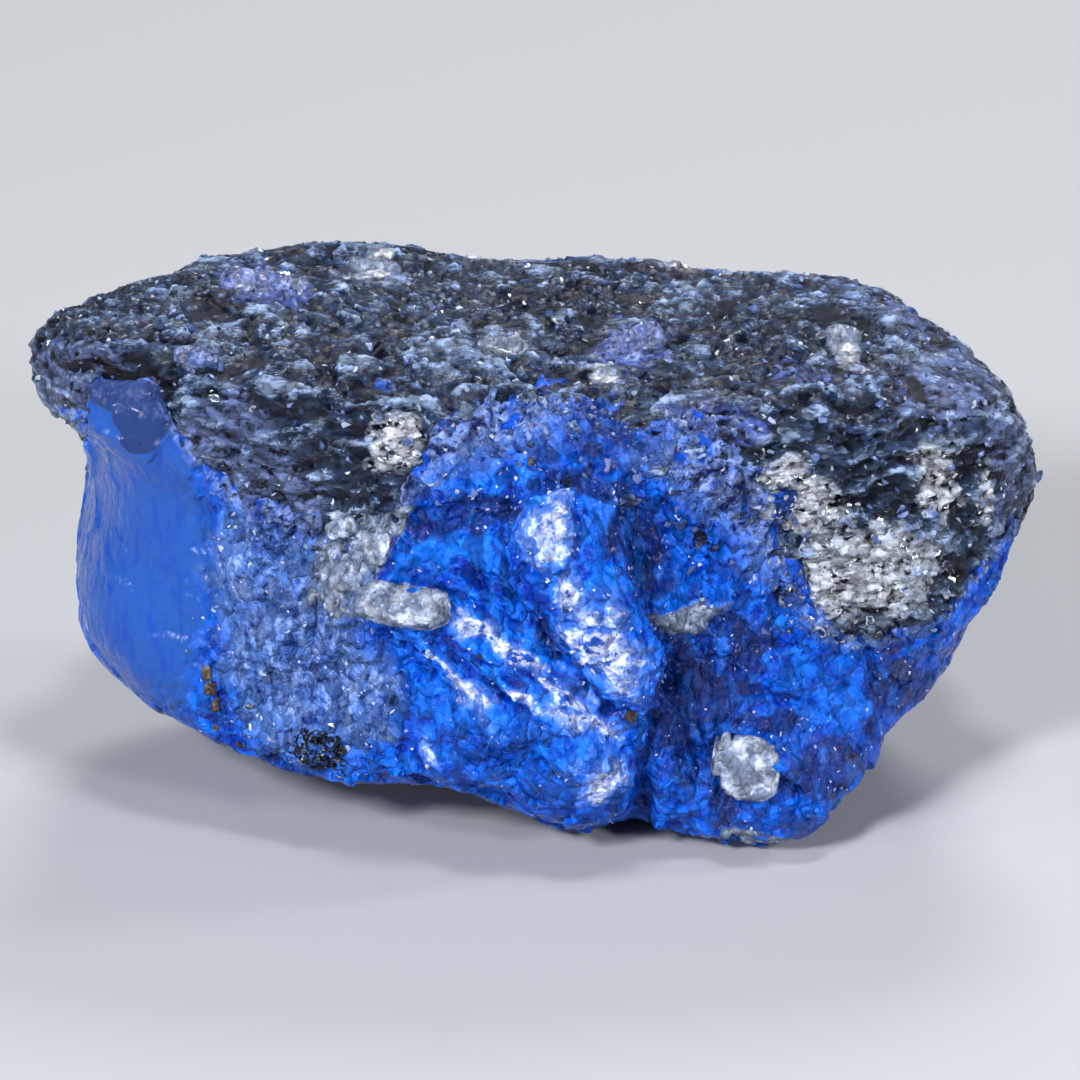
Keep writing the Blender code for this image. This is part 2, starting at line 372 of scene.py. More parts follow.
def crystal_masks(points, normals, share, raised):
    """How strong each look of the crystal is at each point, about 0 to 1, by its name."""
    x, y = in_picture(points)
    seen = seen_share(normals)
    elsewhere = 1 - seen
    plate = seen * patches(x, y, PLATE, 0.85, 1.05)
    gap_shade = seen * patches(x, y, SLOT, 0.8, 1.1)
    furrow = seen * smooth_step(-traced(x, y, FURROWS), 0.02, 0.08)
    x = x + LOOK_WANDER * rough(points, 2.5, 3, seed=20)
    y = y + LOOK_WANDER * rough(points, 2.5, 3, seed=21)
    frost = seen * patches(x, y, FROSTED, 0.25, 1.5)
    frost += elsewhere * 0.6 * smooth_step(rough(points, 0.8, 4, seed=22), 0.1, 0.5)
    milk = seen * patches(x, y, MILKY) + elsewhere * smooth_step(rough(points, 0.4, 2, seed=23), 0.0, 0.4)
    haze = seen * patches(x, y, HAZY) + elsewhere * smooth_step(rough(points, 0.7, 3, seed=25), 0.0, 0.4)
    deep = seen * patches(x, y, DEEP) + elsewhere * smooth_step(rough(points, 0.5, 3, seed=24), 0.1, 0.4)
    belt = smooth_step(share, -0.2, 0.6) * (1 - 0.55 * deep)
    clear = CLEARNESS * deep * (1 - 0.85 * milk) * (1 - 0.75 * haze) * (1 - 0.7 * belt) * (1 - 0.9 * plate)
    return {
        # Frost shows less in the furrows and more on the raised places, partly as painted light
        "frost": frost * (1 - 0.7 * furrow) + 0.35 * (raised - 0.5) * frost,
        "raised": raised,
        "sunk": 1 - raised,
        "milk": milk,
        "haze": haze,
        # The furrows take the deep blue too, as painted shade
        "deep": np.maximum(deep, 0.8 * furrow),
        "belt": belt,
        "icy": seen * patches(x, y, ICY),
        "plate": plate,
        "gap_shade": gap_shade,
        "clear": clear,
    }


masks = crystal_masks(smooth_points, crystal_normals, share, raised)
crystal = finish_mesh("zoisite_crystal", crystal_points, crystal_faces, masks)


def linear(hex_colour):
    """An sRGB hex value as the linear colour that a shader takes."""
    parts = [int(hex_colour[place : place + 2], 16) / 255 for place in (1, 3, 5)]
    return [part / 12.92 if part <= 0.04045 else ((part + 0.055) / 1.055) ** 2.4 for part in parts] + [1.0]


def add_node(tree, kind, inputs=None, output=0, **settings):
    """One node with its settings and links, by one of its outputs; an input is a number, hex or output."""
    node = tree.nodes.new("ShaderNode" + kind)
    for name, value in settings.items():
        setattr(node, name, value)
    for name, value in (inputs or {}).items():
        if isinstance(value, bpy.types.NodeSocket):
            tree.links.new(value, node.inputs[name])
        else:
            node.inputs[name].default_value = linear(value) if isinstance(value, str) else value
    return node.outputs[output] if node.outputs else None


def new_material(name):
    """A material, its empty node tree, and the place on the stone in millimetres to measure patterns in."""
    material = bpy.data.materials.new(name)
    material.use_nodes = True
    tree = material.node_tree
    tree.nodes.clear()
    place = add_node(tree, "TexCoord", output="Object")
    where = add_node(tree, "VectorMath", {0: place, 1: (1 / MM, 1 / MM, 1 / MM)}, operation="MULTIPLY")
    return material, tree, where


EVEN = (1.0, 1.0, 1.0)
STREAKY = (1.6, 1.6, 0.5)
LAYER_DETAIL = 3.0
ZOISITE_IOR = 1.69
CALCITE_IOR = 1.6
BLUE_PER_METRE = 700.0  # how strongly the inside takes up all light but blue
CRYSTAL_BUMP = 0.12  # millimetres


def layered(tree, where, ground, layers):
    """A colour built up on its ground, and how much of each layer shows, by the layer's colour.

    A layer is its colour, the mask it follows if any, the cells of its noise in a millimetre and their
    stretch, and where it begins and is full: the mask and the noise, each 0 to 1, are added for that.
    Layers with the same cells share one noise."""
    colour, shares, noises = ground, {}, {}
    for hex_colour, mask, cells, stretch, begins, full in layers:
        if (cells, stretch) not in noises:
            spread = add_node(tree, "VectorMath", {0: where, 1: stretch}, operation="MULTIPLY")
            look = {"Vector": spread, "Scale": cells, "Detail": LAYER_DETAIL, "Roughness": 0.6}
            noises[cells, stretch] = add_node(tree, "TexNoise", look)
        level = noises[cells, stretch]
        if mask:
            inside = add_node(tree, "Attribute", output="Fac", attribute_name=mask)
            level = add_node(tree, "Math", {0: level, 1: inside}, operation="ADD")
        limits = {"Value": level, "From Min": begins, "From Max": full}
        shown = add_node(tree, "MapRange", limits, clamp=True)
        colour = add_node(tree, "Mix", {0: shown, 6: colour, 7: hex_colour}, 2, data_type="RGBA")
        shares[hex_colour] = shown
    return colour, shares


def granular(tree, where, cells, stretch):
    """Touching grains of uneven shape: how far a place is from its grain's middle, and the grain's tone."""
    spread = add_node(tree, "VectorMath", {0: where, 1: stretch}, operation="MULTIPLY")
    wander = add_node(tree, "TexNoise", {"Vector": spread, "Scale": cells, "Detail": 1.0}, 1)
    bend = {0: wander, 1: (0.9 / cells, 0.9 / cells, 0.9 / cells), 2: spread}
    bent = add_node(tree, "VectorMath", bend, operation="MULTIPLY_ADD")
    reach = add_node(tree, "TexVoronoi", {"Vector": bent, "Scale": cells})
    return reach, reach.node.outputs["Color"]


def grain_shaded(tree, colour, reach, tone, edge_dark, dim, bright):
    """The colour made lighter and darker from grain to grain, and darker where the grains meet, as painted
    shade in the hollows between the domed grains.
    """
    edge = add_node(tree, "MapRange", {"Value": reach, 1: 0.35, 2: 0.80, 3: 1.0, 4: edge_dark}, clamp=True)
    level = add_node(tree, "MapRange", {"Value": tone, 1: 0.25, 2: 0.75, 3: dim, 4: bright}, clamp=True)
    shade = add_node(tree, "Math", {0: edge, 1: level}, operation="MULTIPLY")
    return add_node(tree, "Mix", {0: 1.0, 6: colour, 7: shade}, 2, data_type="RGBA", blend_type="MULTIPLY")


def glassy_zoisite():
    """Broken zoisite: deep blue and clear, with paler milky, hazy and frosted areas."""
    material, tree, where = new_material("glassy_zoisite_broken")
    frost_blue = "#2868d8"
    layers = [
        # Painted light: lighter azure on the raised knobs and ribs; painted shade: darker blue in the sunk
        # places
        ("#0c64d8", "raised", 3.0, EVEN, 0.88, 1.28),
        ("#0030a0", "sunk", 6.0, EVEN, 0.94, 1.28),
        ("#003490", "deep", 3.0, EVEN, 0.95, 1.40),
        ("#001c70", "deep", 6.0, EVEN, 1.48, 1.66),
        ("#1460cc", "deep", 3.0, STREAKY, 1.50, 1.62),
        ("#1e4e9e", "milk", 3.0, EVEN, 0.84, 1.36),
        ("#1440a0", "milk", 5.0, STREAKY, 1.46, 1.70),
        ("#4468ac", "haze", 3.0, EVEN, 0.85, 1.45),
        ("#7c98d0", "haze", 5.0, STREAKY, 1.48, 1.68),
        ("#183480", "haze", 6.0, EVEN, 1.50, 1.68),
        ("#4064b0", "belt", 3.0, EVEN, 0.85, 1.30),
        ("#8ca0d0", "belt", 12.0, EVEN, 1.34, 1.60),
        ("#0c1c50", "belt", 6.0, EVEN, 1.42, 1.58),
        ("#0848b8", "belt", 3.0, STREAKY, 1.50, 1.60),
        (frost_blue, "frost", 3.0, EVEN, 0.82, 1.14),
        ("#6488dc", "frost", 6.0, EVEN, 1.08, 1.44),
        # The whitest frost: partly the frost's own colour, partly a painted highlight
        ("#dce4ff", "frost", 12.0, EVEN, 1.34, 1.64),
        ("#2054bc", "frost", 9.0, EVEN, 1.56, 1.70),
        ("#586880", "icy", 3.0, EVEN, 0.90, 1.30),
        ("#a0acc4", "icy", 6.0, EVEN, 1.36, 1.60),
        ("#1c3468", "plate", 3.0, EVEN, 0.90, 1.40),
        # Painted shade: near black in the gap under the ledge
        ("#02040e", "gap_shade", 3.0, EVEN, 0.80, 1.20),
        ("#0c0a12", None, 12.0, EVEN, 0.71, 0.75),
    ]
    colour, shares = layered(tree, where, "#0050c0", layers)
    reach, tone = granular(tree, where, 6.0, (1.2, 1.2, 0.85))
    # A random tone for each grain, and painted shade where the grains meet
    grainy = grain_shaded(tree, colour, reach, tone, 0.92, 0.66, 1.50)
    milky = add_node(tree, "Attribute", output="Fac", attribute_name="milk")
    colour = add_node(tree, "Mix", {0: milky, 6: grainy, 7: colour}, 2, data_type="RGBA")
    clear = add_node(tree, "Attribute", output="Fac", attribute_name="clear")
    unfrosted = add_node(tree, "Math", {0: 1.0, 1: shares[frost_blue]}, operation="SUBTRACT")
    clear = add_node(tree, "Math", {0: clear, 1: unfrosted}, operation="MULTIPLY")
    gloss = add_node(tree, "MapRange", {"Value": tone, 1: 0.25, 2: 0.75, 3: 0.04, 4: 0.18}, clamp=True)
    fine = add_node(tree, "TexNoise", {"Vector": where, "Scale": 8.0, "Detail": 4.0, "Roughness": 0.6})
    dome = add_node(tree, "Math", {0: reach, 1: reach}, operation="MULTIPLY")
    fine = add_node(tree, "Math", {0: fine, 1: dome}, operation="SUBTRACT")
    strength = add_node(tree, "MapRange", {"Value": milky, 3: 1.0, 4: 0.20}, clamp=True)
    bump = add_node(tree, "Bump", {"Height": fine, "Strength": strength, "Distance": CRYSTAL_BUMP * MM})
    look = {"Base Color": colour, "Roughness": gloss, "IOR": ZOISITE_IOR, "Normal": bump}
    look.update({"Transmission Weight": clear, "Specular IOR Level": 0.16})
    shader = add_node(tree, "BsdfPrincipled", look)
    inside = add_node(tree, "VolumeAbsorption", {"Color": "#30a0f7", "Density": BLUE_PER_METRE})
    add_node(tree, "OutputMaterial", {"Surface": shader, "Volume": inside})
    return material


crystal.data.materials.append(glassy_zoisite())
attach(crystal, "root")
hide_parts("tanzanite_stone")


# The matrix: fine graphite schist with calcite, grown over the crystal. It is a rind, closed underneath,
# whose edge sinks into the crystal.
RIND = 0.45  # its thickness
RIND_EDGE = -0.25  # the share of matrix at which it ends
RIND_CUTS = 2
FOLIATION = np.array([-0.10, -0.18, 1.0])  # square to the layers of the schist
LAYERS_PER_MM = 2.3
LEDGE = [(95, 352, 60, 14, -8)]
SMOOTH_RIND = [(975, 350, 50, 100, 35), (900, 292, 90, 20, 20), (1015, 480, 22, 60, 0), (60, 380, 40, 34, 0)]
# Heights in millimetres
LAYER_HEIGHT = 0.06
FLOW_HEIGHT = 0.085
BIT_HEIGHT = 0.07
FINE_HEIGHT = 0.022
LEDGE_HEIGHT = 0.06
EDGE_DEPTH = 0.25  # how far down the outside is at the rind's edge
EDGE_RISE = 0.24  # and how much of that it gains from there on
BURIED_DEPTH = 0.14  # how much further down it goes past the edge
FOLD_REACH = 0.22


def matrix_relief(points, normals, share):
    """How far the matrix's granular surface stands off the smooth body, in millimetres."""
    x, y = in_picture(points)
    seen = seen_share(normals)
    level = points @ FOLIATION * LAYERS_PER_MM + 1.3 * rough(points, 0.8, 3, seed=13)
    ledges = (level - np.floor(level) - 0.5) * smooth_step(rough(points, 0.7, 2, seed=14), -0.3, 0.3)
    folds = np.stack([rough(points, 1.3, 2, seed=19 + axis) for axis in range(3)], axis=1)
    bent = points + FOLD_REACH * folds
    flow = rough(bent, (1.5, 2.0, 5.0), 4, seed=7)
    bits = 0.6 * chips(bent, (2.6, 3.2, 6.0), seed=8) + 0.4 * chips(bent, (6.0, 7.0, 12.0), seed=15)
    fine = rough(bent, (7.0, 8.0, 14.0), 3, seed=9)
    grain = LAYER_HEIGHT * ledges + FLOW_HEIGHT * flow + BIT_HEIGHT * bits + FINE_HEIGHT * fine
    grain *= 0.5 + 0.5 * smooth_step(normals @ towards_lens, 0.0, 0.4)
    grain *= 1 - 0.55 * seen * patches(x, y, SMOOTH_RIND)
    edge = smooth_step(share + 0.7 * rough(points, 2.6, 4, seed=10), 0.1, 0.7)
    relief = grain * (0.4 + 0.6 * edge) - EDGE_DEPTH + EDGE_RISE * edge
    relief -= BURIED_DEPTH * smooth_step(-share, 0.0, 0.2)
    relief += seen * LEDGE_HEIGHT * patches(x, y, LEDGE)
    # raised: how high each point stands in the schist's grain, about 0 to 1; the matrix's material paints
    # light on the high places and shade in the low ones from it
    raised = 0.5 + 0.55 * flow + 0.35 * bits + 0.3 * fine
    return relief - seen * SLOT_DEPTH * patches(x, y, SLOT, 0.7, 1.1), raised


kept = [face for face, level in zip(body_faces, face_share, strict=True) if level > RIND_EDGE]
kept_facing = face_facing[face_share > RIND_EDGE]
used = sorted({corner for face in kept for corner in face})
renumbered = {corner: index for index, corner in enumerate(used)}
outer = [tuple(renumbered[corner] for corner in face) for face in kept]
count = len(used)
inner = [tuple(corner + count for corner in reversed(face)) for face in outer]
sides = {}
for face in outer:
    for start, end in zip(face, face[1:] + face[:1], strict=True):
        if (end, start) in sides:
            del sides[(end, start)]
        else:
            sides[(start, end)] = (end, start, start + count, end + count)
rind_points = np.concatenate([body_points[used], body_points[used] - RIND * body_normals[used]])
rind_normals = np.concatenate([body_normals[used]] * 2)
rind_depths = np.concatenate([np.zeros(count), np.ones(count)])
rind_faces = outer + inner + list(sides.values())
wanted = list(kept_facing > 0.0) + [False] * (len(inner) + len(sides))
rind_points, rind_normals, rind_depths, rind_faces = refined(
    rind_points, rind_normals, rind_depths, rind_faces, wanted, RIND_CUTS
)
share = matrix_share(rind_points, rind_normals)
smooth_points = rind_points.copy()
lift, raised = matrix_relief(rind_points, rind_normals, share)
rind_points += rind_normals * (lift * (1 - rind_depths))[:, None]

SILVERY = [
    (860, 575, 90, 55, -15), (398, 440, 34, 34, 0), (940, 480, 24, 50, -12), (985, 492, 12, 34, 0),
    (800, 500, 60, 34, 30), (862, 598, 54, 22, -8),
]
LAVENDER = [(265, 285, 50, 20, 8), (633, 345, 42, 24, -15), (800, 368, 30, 12, 10), (720, 420, 60, 18, 8)]
# The dark schist; its last two spots are black cracks and painted shadow under the overhanging lower edge of
# the silvery patch.
DARK = [
    (335, 430, 120, 90, 25), (290, 350, 90, 34, 8), (560, 305, 170, 34, 3), (770, 345, 80, 30, 0),
    (200, 300, 60, 24, -20), (680, 276, 34, 7, 4), (730, 284, 20, 6, 4), (786, 590, 20, 36, 20),
    (850, 634, 56, 10, -5),
]
PALE = [(503, 345, 26, 12, 5), (606, 374, 17, 11, 0), (375, 268, 30, 15, 5), (845, 346, 18, 18, 20)]
WINDOWS = [(596, 404, 30, 9, -12), (545, 380, 20, 8, 0), (787, 505, 18, 15, 0), (381, 378, 13, 9, 20)]
MILKY_RIND = [
    (270, 480, 60, 34, 30), (230, 430, 50, 40, 40), (965, 350, 60, 90, 35), (890, 300, 80, 24, 22),
    (70, 380, 50, 44, 0), (1010, 470, 30, 60, 0),
]
# Each look: its name, its spots, and how rough the rock has to be for it to show round the back
MATRIX_LOOKS = [
    ("silver", SILVERY, 0.1),
    ("lavender", LAVENDER, 0.1),
    ("dark", DARK, 0.1),
    ("film", MILKY_RIND, 0.1),
    ("pale", PALE, 0.4),
    ("window", WINDOWS, 0.4),
]
MATRIX_LOOK_WANDER = 14  # pixels


def matrix_masks(points, normals, share, raised):
    """How strong each look of the matrix is at each point, about 0 to 1, by its name."""
    x, y = in_picture(points)
    gap_shade = seen_share(normals) * patches(x, y, SLOT, 0.8, 1.1)
    x = x + MATRIX_LOOK_WANDER * rough(points, 3.0, 3, seed=30)
    y = y + MATRIX_LOOK_WANDER * rough(points, 3.0, 3, seed=31)
    seen = seen_share(normals)
    masks = {"raised": raised, "sunk": 1 - raised, "gap_shade": gap_shade, "mixed": seen * smooth_step(share, 1.1, 0.3)}
    for number, (name, spots, least) in enumerate(MATRIX_LOOKS):
        elsewhere = smooth_step(rough(points, 0.6, 3, seed=32 + number), least, 0.5)
        masks[name] = seen * patches(x, y, spots) + (1 - seen) * elsewhere
    return masks


masks = matrix_masks(smooth_points, rind_normals, share, raised)
matrix = finish_mesh("graphite_matrix", rind_points, rind_faces, masks)


def graphite_schist():
    """Broken graphite schist with calcite: dark, wet-looking and layered, with bright and black grains."""
    material, tree, where = new_material("graphite_schist_broken")
    foliated = (1.0, 1.5, 2.1)  # grains drawn out along the layers of the rock
    silver_grey = "#c8d2e2"
    layers = [
        ("#162640", None, 3.0, foliated, 0.52, 0.38),
        # Painted light: lighter slate on the raised grain
        ("#485f82", "raised", 8.0, foliated, 0.98, 1.36),
        # The dark schist, with painted shadow under the silvery patch's lower edge
        ("#14223c", "dark", 3.0, foliated, 1.10, 1.70),
        ("#586894", "film", 3.0, foliated, 0.70, 1.30),
        ("#4458a0", "lavender", 3.0, EVEN, 0.80, 1.30),
        ("#7084b8", "lavender", 8.0, foliated, 1.46, 1.66),
        ("#3c5698", "mixed", 3.0, EVEN, 0.90, 1.40),
        (silver_grey, "silver", 3.0, EVEN, 0.95, 1.36),
        # Painted light on the tops of the finest grain, and painted shade, near black, in the sunk places
        ("#8ea6ca", "raised", 16.0, foliated, 1.14, 1.44),
        ("#060e22", "sunk", 8.0, foliated, 1.04, 1.34),
        ("#eef2fa", "silver", 8.0, EVEN, 1.38, 1.56),
        ("#8c98ac", "pale", 3.0, EVEN, 0.90, 1.30),
        ("#f0f2f6", "pale", 8.0, EVEN, 1.40, 1.60),
        ("#1450b8", "window", 3.0, EVEN, 0.90, 1.30),
        ("#0c2460", "window", 8.0, EVEN, 1.52, 1.62),
        ("#05070c", "silver", 5.0, (1.0, 1.3, 1.6), 1.58, 1.67),
        # Painted shade: near black in the gap under the ledge
        ("#02040a", "gap_shade", 3.0, EVEN, 0.80, 1.20),
    ]
    colour, shares = layered(tree, where, "#263a5a", layers)
    reach, tone = granular(tree, where, 5.0, foliated)
    # A random tone for each grain, and painted shade where the grains meet
    colour = grain_shaded(tree, colour, reach, tone, 0.40, 0.55, 1.60)
    metal = add_node(tree, "Math", {0: shares[silver_grey], 1: 0.5}, operation="MULTIPLY")
    gloss = add_node(tree, "MapRange", {"Value": tone, 1: 0.25, 2: 0.75, 3: 0.24, 4: 0.08}, clamp=True)
    spread = add_node(tree, "VectorMath", {0: where, 1: foliated}, operation="MULTIPLY")
    fine = add_node(tree, "TexNoise", {"Vector": spread, "Scale": 9.0, "Detail": 5.0, "Roughness": 0.7})
    dome = add_node(tree, "Math", {0: reach, 1: reach}, operation="MULTIPLY")
    fine = add_node(tree, "Math", {0: fine, 1: dome}, operation="SUBTRACT")
    bump = add_node(tree, "Bump", {"Height": fine, "Strength": 1.0, "Distance": 0.10 * MM})
    look = {"Base Color": colour, "Roughness": gloss, "IOR": CALCITE_IOR, "Metallic": metal, "Normal": bump}
    look["Specular IOR Level"] = 0.35
    add_node(tree, "OutputMaterial", {"Surface": add_node(tree, "BsdfPrincipled", look)})
    return material


matrix.data.materials.append(graphite_schist())
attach(matrix, "root")


# The graphite flakes: soft metallic scales of graphite that lie over the matrix, thickest in the silvery
# places. They grew with the rock and stand out of it by a few hundredths of a millimetre.
SHAPE_KINDS = 24
FLAKE_CORNERS = 6
FLAKE_HALF_THICK = 0.12  # of its half width
FLAKE_NARROWNESS = 0.7
BEVEL = 0.9  # the lower rim's size for an upper rim of 1
RIM_UNEVEN = 0.35  # radians
FLAKE_SIZE = (0.03, 0.09)  # half widths, least and most
FLAKE_TILT = 0.28
FLAKE_TRIES = 60000
SUNK = 0.35  # of its half height, into the stone
START_ABOVE = 0.8  # where the search for the surface starts

stone_points = np.concatenate([crystal_points, rind_points])
stone_faces = crystal_faces + [[corner + len(crystal_points) for corner in face] for face in rind_faces]
stone_tree = BVHTree.FromPolygons(stone_points.tolist(), stone_faces)


def on_surface(place, outward):
    """The outermost place of the stone over a place on the smooth body, and the direction it faces."""
    found, facing, _, _ = stone_tree.ray_cast(Vector(place + START_ABOVE * outward), Vector(-outward))
    if found is None:
        return place, outward
    facing = np.array(facing) + outward
    return np.array(found), facing / np.linalg.norm(facing)


def spread_over(tries, wanted, chance):
    """Places at random over the stone, kept as often as wanted says, and the direction that each faces."""
    corners = np.array([face[:4] for face in body_faces])[chance.integers(len(body_faces), size=tries)]
    weights = chance.dirichlet(np.ones(4), size=tries)[:, :, None]
    places = (body_points[corners] * weights).sum(axis=1)
    outward = (body_normals[corners] * weights).sum(axis=1)
    outward /= np.linalg.norm(outward, axis=1)[:, None]
    seen = seen_share(outward)
    front, back = wanted(*in_picture(places), matrix_share(places, outward))
    kept = chance.random(tries) < seen * front + (1 - seen) * back
    return zip(*(on_surface(*pair) for pair in zip(places[kept], outward[kept])))


def hull_of(points):
    """The solid that a few corners span: its points and triangles."""
    hull = bmesh.new()
    for point in points:
        hull.verts.new(point)
    bmesh.ops.convex_hull(hull, input=hull.verts)
    hull.verts.index_update()
    made = (
        np.array([vertex.co for vertex in hull.verts]),
        np.array([[vertex.index for vertex in face.verts] for face in hull.faces]),
    )
    hull.free()
    return made


def joined(shapes, places, facings, sizes, tilt, chance):
    """One mesh of many small solids, each at its place: its points, its faces and a tone for each solid."""
    points, faces, tones, start = [], [], [], 0
    for place, facing, size in zip(places, facings, sizes):
        shape_points, shape_faces = shapes[chance.integers(len(shapes))]
        up = facing + tilt * chance.normal(size=3)
        up /= np.linalg.norm(up)
        side = np.cross(up, chance.normal(size=3))
        side /= np.linalg.norm(side)
        sunk = place - SUNK * size[2] * facing
        points.append(sunk + (shape_points * size) @ np.stack([side, np.cross(up, side), up]))
        faces.append(shape_faces + start)
        start += len(shape_points)
        tones.append(np.full(len(shape_points), chance.random()))
    return np.concatenate(points), np.concatenate(faces).tolist(), {"tone": np.concatenate(tones)}


def flake_wanted(x, y, share):
    """The chance of a flake at each place, if it is in front and if it is behind; so for the grains below."""
    crust = smooth_step(share, 0.3, 1.0)
    return 0.03 * crust + 0.6 * patches(x, y, SILVERY) * smooth_step(share, 0.0, 0.6), 0.05 * crust


chance = np.random.default_rng(11)
even_ring = np.arange(FLAKE_CORNERS) * math.tau / FLAKE_CORNERS
half_thick = np.array([0.0, 0.0, FLAKE_HALF_THICK])
flake_shapes = []
for _ in range(SHAPE_KINDS):
    ring = even_ring + RIM_UNEVEN * chance.normal(size=FLAKE_CORNERS)
    rim = np.stack([np.cos(ring), FLAKE_NARROWNESS * np.sin(ring), np.zeros(FLAKE_CORNERS)], axis=1)
    flake_shapes.append(hull_of(np.concatenate([rim + half_thick, BEVEL * rim - half_thick])))
places, facings = spread_over(FLAKE_TRIES, flake_wanted, chance)
sizes = [chance.uniform(*FLAKE_SIZE) * np.ones(3) for _ in places]
points, faces, tones = joined(flake_shapes, places, facings, sizes, FLAKE_TILT, chance)
flakes = finish_mesh("graphite_flakes", points, faces, tones, smooth=False)


def flake_graphite():
    """Graphite in cleaved scales: a soft metal sheen, silver where it faces the light and dark elsewhere."""
    material, tree, where = new_material("flake_graphite_cleaved")
    tone = add_node(tree, "Attribute", output="Fac", attribute_name="tone")
    colour = add_node(tree, "Mix", {0: tone, 6: "#5a6270", 7: "#dfe3ea"}, 2, data_type="RGBA")
    fine = add_node(tree, "TexNoise", {"Vector": where, "Scale": 22.0, "Detail": 3.0})
    bump = add_node(tree, "Bump", {"Height": fine, "Strength": 0.6, "Distance": 0.02 * MM})
    gloss = add_node(tree, "MapRange", {"Value": tone, 3: 0.42, 4: 0.22}, clamp=True)
    look = {"Base Color": colour, "Roughness": gloss, "Metallic": 0.85, "Normal": bump}
    add_node(tree, "OutputMaterial", {"Surface": add_node(tree, "BsdfPrincipled", look)})
    return material


flakes.data.materials.append(flake_graphite())
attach(flakes, "root")


# The grains of the matrix: broken bits of calcite, zoisite and graphite, half sunk in the schist, in the
# mixed belt and here and there in the crystal. Each kind is one mesh.
GRAIN_CORNERS = 9
GRAIN_TRIES = 30000
GRAIN_TILT = 0.3
GRAIN_SHAPE = ((0.8, 0.6, 0.5), (1.3, 1.0, 0.8))  # least and most length, width and height for a size of 1


def calcite_wanted(x, y, share):
    crust = smooth_step(share, 0.2, 1.0)
    front = 0.05 * crust * (1 - 0.6 * patches(x, y, DARK))
    front += 0.05 * smooth_step(share, -0.4, 0.2) * (1 - crust)
    front += 0.06 * patches(x, y, HAZY) + 0.10 * patches(x, y, FROSTED)
    return front, 0.08 * crust


def zoisite_wanted(x, y, share):
    crust = smooth_step(share, 0.2, 1.0)
    belt = smooth_step(share, -0.3, 0.2) * (1 - 0.7 * crust)
    front = 0.006 * crust + 0.16 * belt + 0.08 * patches(x, y, HAZY) + 0.3 * patches(x, y, LAVENDER)
    return front, 0.06 * crust


def sparkle_wanted(x, y, share):
    sound = 1 - smooth_step(share, 0.0, 0.6)
    front = 0.05 + 0.12 * patches(x, y, HAZY) + 0.25 * patches(x, y, FROSTED) + 0.08 * patches(x, y, DEEP)
    return sound * front * (1 - 0.9 * patches(x, y, MILKY)), 0.02 * sound


def black_wanted(x, y, share):
    crust = smooth_step(share, 0.2, 1.0)
    front = crust * (0.03 + 0.16 * patches(x, y, DARK)) + 0.04 * smooth_step(share, -0.4, 0.2)
    front += 0.008 * (1 - patches(x, y, MILKY))
    return front, 0.10 * crust


def grain_material(name, dark, light, roughness, ior):
    """Broken mineral grains that differ in tone from one to the next, each with a glassy glint."""
    material, tree, where = new_material(name)
    tone = add_node(tree, "Attribute", output="Fac", attribute_name="tone")
    colour = add_node(tree, "Mix", {0: tone, 6: dark, 7: light}, 2, data_type="RGBA")
    fine = add_node(tree, "TexNoise", {"Vector": where, "Scale": 18.0, "Detail": 4.0})
    bump = add_node(tree, "Bump", {"Height": fine, "Strength": 0.7, "Distance": 0.03 * MM})
    look = {"Base Color": colour, "Roughness": roughness, "IOR": ior, "Normal": bump}
    add_node(tree, "OutputMaterial", {"Surface": add_node(tree, "BsdfPrincipled", look)})
    return material


grain_shapes = []
for _ in range(SHAPE_KINDS):
    corners = chance.normal(size=(GRAIN_CORNERS, 3))
    corners /= np.linalg.norm(corners, axis=1)[:, None]
    grain_shapes.append(hull_of(corners))

# Each kind: its name, where it is wanted, its least and most size in millimetres, its slot and its look
GRAINS = [
    ("calcite_grains", calcite_wanted, 0.02, 0.06, "calcite", ("#5c6e88", "#b8c6da", 0.10, CALCITE_IOR)),
    ("zoisite_grains", zoisite_wanted, 0.03, 0.09, "tanzanite", ("#24407c", "#5c70a4", 0.10, ZOISITE_IOR)),
    # The cleavage grains' pale tones: partly the cleavage's own whiteness, partly painted glints in the
    # crystal
    ("cleavage_grains", sparkle_wanted, 0.012, 0.035, "tanzanite", ("#4868c8", "#ccd8fa", 0.05, ZOISITE_IOR)),
    ("black_grains", black_wanted, 0.02, 0.07, "graphite", ("#060c20", "#1c3050", 0.10, 1.6)),
]
for name, wanted, least, most, slot, look in GRAINS:
    places, facings = spread_over(GRAIN_TRIES, wanted, chance)
    sizes = [chance.uniform(least, most) * chance.uniform(*GRAIN_SHAPE) for _ in places]
    points, faces, tones = joined(grain_shapes, places, facings, sizes, GRAIN_TILT, chance)
    grains = finish_mesh(name, points, faces, tones, smooth=False)
    grains.data.materials.append(grain_material(name + "_broken", *look))
    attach(grains, "root")


# The larger grains that can be told apart: milky calcite in a band below the dark schist and in single
# crystals, bluish zoisite in the schist, and rust-stained specks in the crystal. Each one grew where it is.
LUMP_SUBDIVISIONS = 4
BLOCKINESS = 4.0  # 2 is a ball, and a great number a box
LUMP_SUNK = 0.3  # of its half height, into the stone
LUMP_LEAN = 1.2  # how much more it faces the lens than the stone under it does
LUMP_UNEVENNESS = 0.35  # of its least half size


def in_stone(x, y):
    """The outermost place of the stone at a place in the picture, and the way it faces."""
    aside = (x - PICTURE_SIDE / 2) / PIXELS_PER_MM
    above = (PICTURE_SIDE / 2 - y) / PIXELS_PER_MM
    ray = np.array([aside, 0.0, 0.0]) + above * picture_up - LENS_TO_STONE * towards_lens
    found, facing, _, _ = stone_tree.ray_cast(Vector(lens_place), Vector(ray))
    return np.array(found), np.array(facing)


